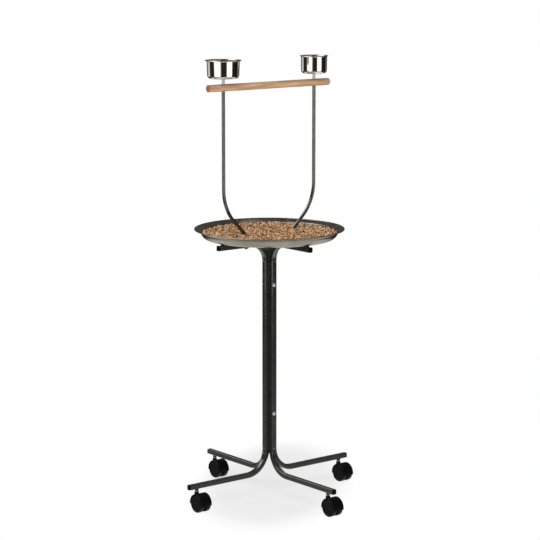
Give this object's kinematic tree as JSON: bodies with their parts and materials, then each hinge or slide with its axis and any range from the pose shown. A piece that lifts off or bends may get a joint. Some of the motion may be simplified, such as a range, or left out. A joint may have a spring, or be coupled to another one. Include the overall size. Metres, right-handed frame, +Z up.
{
  "type": "parrot play stand",
  "caption": "Wheeled play stand for a parrot: a post of bent square tubes carries a round tray of bedding, from which a rod hoop holds up a wooden perch with metal cups.",
  "frame": {"origin": "on the floor, on the axis of the post", "axes": "+Z up, the perch and the hoop along X with the larger cup at -X, front of the stand towards -Y, the casters trail towards -Y"},
  "size_m": [0.57, 0.5892, 1.2412],
  "materials": {
    "frame_paint": "semi-gloss charcoal powder coat",
    "rod_paint": "grey hammered coat",
    "tray_paint": "pewter grey coat with a fine fleck",
    "zinc": "bright zinc",
    "dark_zinc": "black oxide",
    "polished_steel": "polished",
    "black_plastic": "satin moulded",
    "black_rubber": "matte",
    "dowel_wood": "sanded, uncoated",
    "chips": "loose shavings"
  },
  "bodies": {
    "stand": {"tube_left": "frame_paint", "leg_cap_left": "black_plastic", "arm_cap_left": "black_plastic", "tray_pad_left": "black_rubber", "caster_stem_left": "zinc", "tube_right": "frame_paint", "leg_cap_right": "black_plastic", "arm_cap_right": "black_plastic", "tray_pad_right": "black_rubber", "caster_stem_right": "zinc", "tube_front": "frame_paint", "leg_cap_front": "black_plastic", "arm_cap_front": "black_plastic", "tray_pad_front": "black_rubber", "caster_stem_front": "zinc", "tube_back": "frame_paint", "leg_cap_back": "black_plastic", "arm_cap_back": "black_plastic", "tray_pad_back": "black_rubber", "caster_stem_back": "zinc", "core_tube": "frame_paint", "post_bolts": "dark_zinc", "post_nuts": "dark_zinc", "stem_nuts": "frame_paint", "tray": "tray_paint", "bedding": "chips", "hoop_screws": "dark_zinc", "hoop_washers": "dark_zinc", "tray_spacers": "black_rubber", "perch": "dowel_wood", "hoop_rod_left": "rod_paint", "perch_sleeve_left": "zinc", "hoop_rod_right": "rod_paint", "perch_sleeve_right": "zinc"},
    "caster_left": {"caster_housing_left": "black_plastic", "caster_axle_left": "zinc"},
    "wheel_left_left": {"caster_wheel_left_left": "black_plastic"},
    "wheel_left_right": {"caster_wheel_left_right": "black_plastic"},
    "caster_right": {"caster_housing_right": "black_plastic", "caster_axle_right": "zinc"},
    "wheel_right_left": {"caster_wheel_right_left": "black_plastic"},
    "wheel_right_right": {"caster_wheel_right_right": "black_plastic"},
    "caster_front": {"caster_housing_front": "black_plastic", "caster_axle_front": "zinc"},
    "wheel_front_left": {"caster_wheel_front_left": "black_plastic"},
    "wheel_front_right": {"caster_wheel_front_right": "black_plastic"},
    "caster_back": {"caster_housing_back": "black_plastic", "caster_axle_back": "zinc"},
    "wheel_back_left": {"caster_wheel_back_left": "black_plastic"},
    "wheel_back_right": {"caster_wheel_back_right": "black_plastic"},
    "feeding_cup_left": {"cup_left": "polished_steel", "cup_stud_left": "zinc"},
    "feeding_cup_right": {"cup_right": "polished_steel", "cup_stud_right": "zinc"}
  },
  "joints": [
    {"name": "caster_swivel_left", "type": "hinge", "parent": "stand", "child": "caster_left", "pos_m": [-0.258, 0, 0.0532], "axis": [0, 0, 1], "continuous": true},
    {"name": "wheel_spin_left_left", "type": "hinge", "parent": "caster_left", "child": "wheel_left_left", "pos_m": [-0.258, -0.019, 0.025], "axis": [1, 0, 0], "continuous": true},
    {"name": "wheel_spin_left_right", "type": "hinge", "parent": "caster_left", "child": "wheel_left_right", "pos_m": [-0.258, -0.019, 0.025], "axis": [1, 0, 0], "continuous": true},
    {"name": "caster_swivel_right", "type": "hinge", "parent": "stand", "child": "caster_right", "pos_m": [0.258, 0, 0.0532], "axis": [0, 0, 1], "continuous": true},
    {"name": "wheel_spin_right_left", "type": "hinge", "parent": "caster_right", "child": "wheel_right_left", "pos_m": [0.258, -0.019, 0.025], "axis": [1, 0, 0], "continuous": true},
    {"name": "wheel_spin_right_right", "type": "hinge", "parent": "caster_right", "child": "wheel_right_right", "pos_m": [0.258, -0.019, 0.025], "axis": [1, 0, 0], "continuous": true},
    {"name": "caster_swivel_front", "type": "hinge", "parent": "stand", "child": "caster_front", "pos_m": [0, -0.258, 0.0532], "axis": [0, 0, 1], "continuous": true},
    {"name": "wheel_spin_front_left", "type": "hinge", "parent": "caster_front", "child": "wheel_front_left", "pos_m": [0, -0.277, 0.025], "axis": [1, 0, 0], "continuous": true},
    {"name": "wheel_spin_front_right", "type": "hinge", "parent": "caster_front", "child": "wheel_front_right", "pos_m": [0, -0.277, 0.025], "axis": [1, 0, 0], "continuous": true},
    {"name": "caster_swivel_back", "type": "hinge", "parent": "stand", "child": "caster_back", "pos_m": [0, 0.258, 0.0532], "axis": [0, 0, 1], "continuous": true},
    {"name": "wheel_spin_back_left", "type": "hinge", "parent": "caster_back", "child": "wheel_back_left", "pos_m": [0, 0.239, 0.025], "axis": [1, 0, 0], "continuous": true},
    {"name": "wheel_spin_back_right", "type": "hinge", "parent": "caster_back", "child": "wheel_back_right", "pos_m": [0, 0.239, 0.025], "axis": [1, 0, 0], "continuous": true},
    {"name": "cup_turn_left", "type": "hinge", "parent": "stand", "child": "feeding_cup_left", "pos_m": [-0.16, 0, 1.191], "axis": [0, 0, 1], "continuous": true},
    {"name": "cup_turn_right", "type": "hinge", "parent": "stand", "child": "feeding_cup_right", "pos_m": [0.16, 0, 1.191], "axis": [0, 0, 1], "continuous": true}
  ]
}
